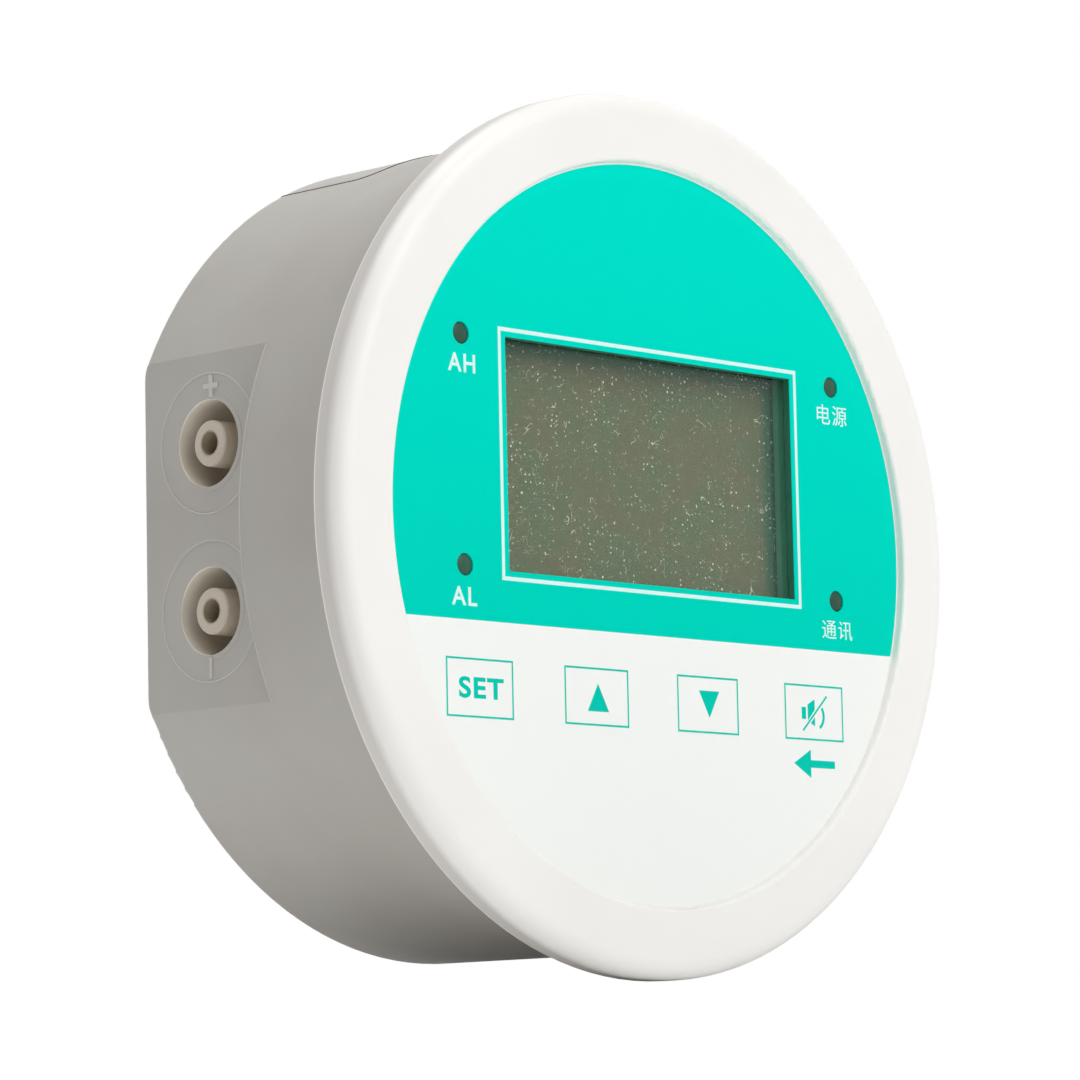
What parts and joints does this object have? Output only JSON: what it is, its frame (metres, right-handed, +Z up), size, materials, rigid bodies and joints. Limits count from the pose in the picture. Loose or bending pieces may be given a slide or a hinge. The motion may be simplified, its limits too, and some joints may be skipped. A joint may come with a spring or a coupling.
{
  "type": "differential pressure transmitter",
  "caption": "Round panel-mounted pressure transmitter with a display window, membrane keys, status lamps and two recessed hose ports on a side flat.",
  "frame": {"origin": "centre of the bezel's rear seat, where the round body enters the panel cut-out", "axes": "+Y back through the panel along the body's axis, the display faces -Y, +Z up, the hose ports on the -X side"},
  "size_m": [0.122, 0.0491, 0.122],
  "materials": {
    "bezel_white": "satin moulded ABS",
    "label_film": "printed polycarbonate film, teal above and white below",
    "clear_pane": "clear acrylic",
    "display_glass": "grey-green unlit display cell",
    "light_guide": "milky light guide",
    "frame_black": "moulded black",
    "seal_rubber": "soft rubber",
    "board_green": "solder-masked laminate",
    "brass": "turned",
    "steel": "zinc plated",
    "relay_blue": "moulded case",
    "sensor_white": "moulded case",
    "port_ivory": "satin moulded",
    "tube_silicone": "translucent silicone",
    "housing_grey": "fine moulded texture",
    "terminal_green": "moulded",
    "lamp_lens": "unlit grey-green lens",
    "key_plastic": "moulded",
    "stem_plastic": "moulded"
  },
  "bodies": {
    "casing": {"front_bezel": "bezel_white", "front_label": "label_film", "display_window": "clear_pane", "display_glass": "display_glass", "display_backlight": "light_guide", "display_frame": "frame_black", "front_seal": "seal_rubber", "display_board": "board_green", "main_board": "board_green", "board_spacers": "brass", "board_screws": "steel", "board_link": "frame_black", "processor": "frame_black", "buzzer": "frame_black", "high_relay": "relay_blue", "low_relay": "relay_blue", "power_module": "frame_black", "pressure_sensor": "sensor_white", "high_port": "port_ivory", "low_port": "port_ivory", "high_tube": "tube_silicone", "low_tube": "tube_silicone", "rear_housing": "housing_grey", "housing_screws": "steel", "mount_inserts": "brass", "terminal_block": "terminal_green", "terminal_screws": "steel", "high_alarm_lamp": "lamp_lens", "low_alarm_lamp": "lamp_lens", "power_lamp": "lamp_lens", "link_lamp": "lamp_lens", "set_switch": "frame_black", "up_switch": "frame_black", "down_switch": "frame_black", "mute_switch": "frame_black"},
    "set_plunger": {"set_key": "key_plastic", "set_stem": "stem_plastic"},
    "up_plunger": {"up_key": "key_plastic", "up_stem": "stem_plastic"},
    "down_plunger": {"down_key": "key_plastic", "down_stem": "stem_plastic"},
    "mute_plunger": {"mute_key": "key_plastic", "mute_stem": "stem_plastic"},
    "bay_cover": {"terminal_cover": "housing_grey", "cover_screws": "steel", "cable_grommet": "seal_rubber"}
  },
  "joints": [
    {"name": "set_press", "type": "slide", "parent": "casing", "child": "set_plunger", "axis": [0, 1, 0], "range_m": [0, 0.0003], "stiffness_N_per_m": 5000},
    {"name": "up_press", "type": "slide", "parent": "casing", "child": "up_plunger", "axis": [0, 1, 0], "range_m": [0, 0.0003], "stiffness_N_per_m": 5000},
    {"name": "down_press", "type": "slide", "parent": "casing", "child": "down_plunger", "axis": [0, 1, 0], "range_m": [0, 0.0003], "stiffness_N_per_m": 5000},
    {"name": "mute_press", "type": "slide", "parent": "casing", "child": "mute_plunger", "axis": [0, 1, 0], "range_m": [0, 0.0003], "stiffness_N_per_m": 5000},
    {"name": "cover_pull", "type": "slide", "parent": "casing", "child": "bay_cover", "axis": [0, 1, 0], "range_m": [0, 0.04]}
  ]
}
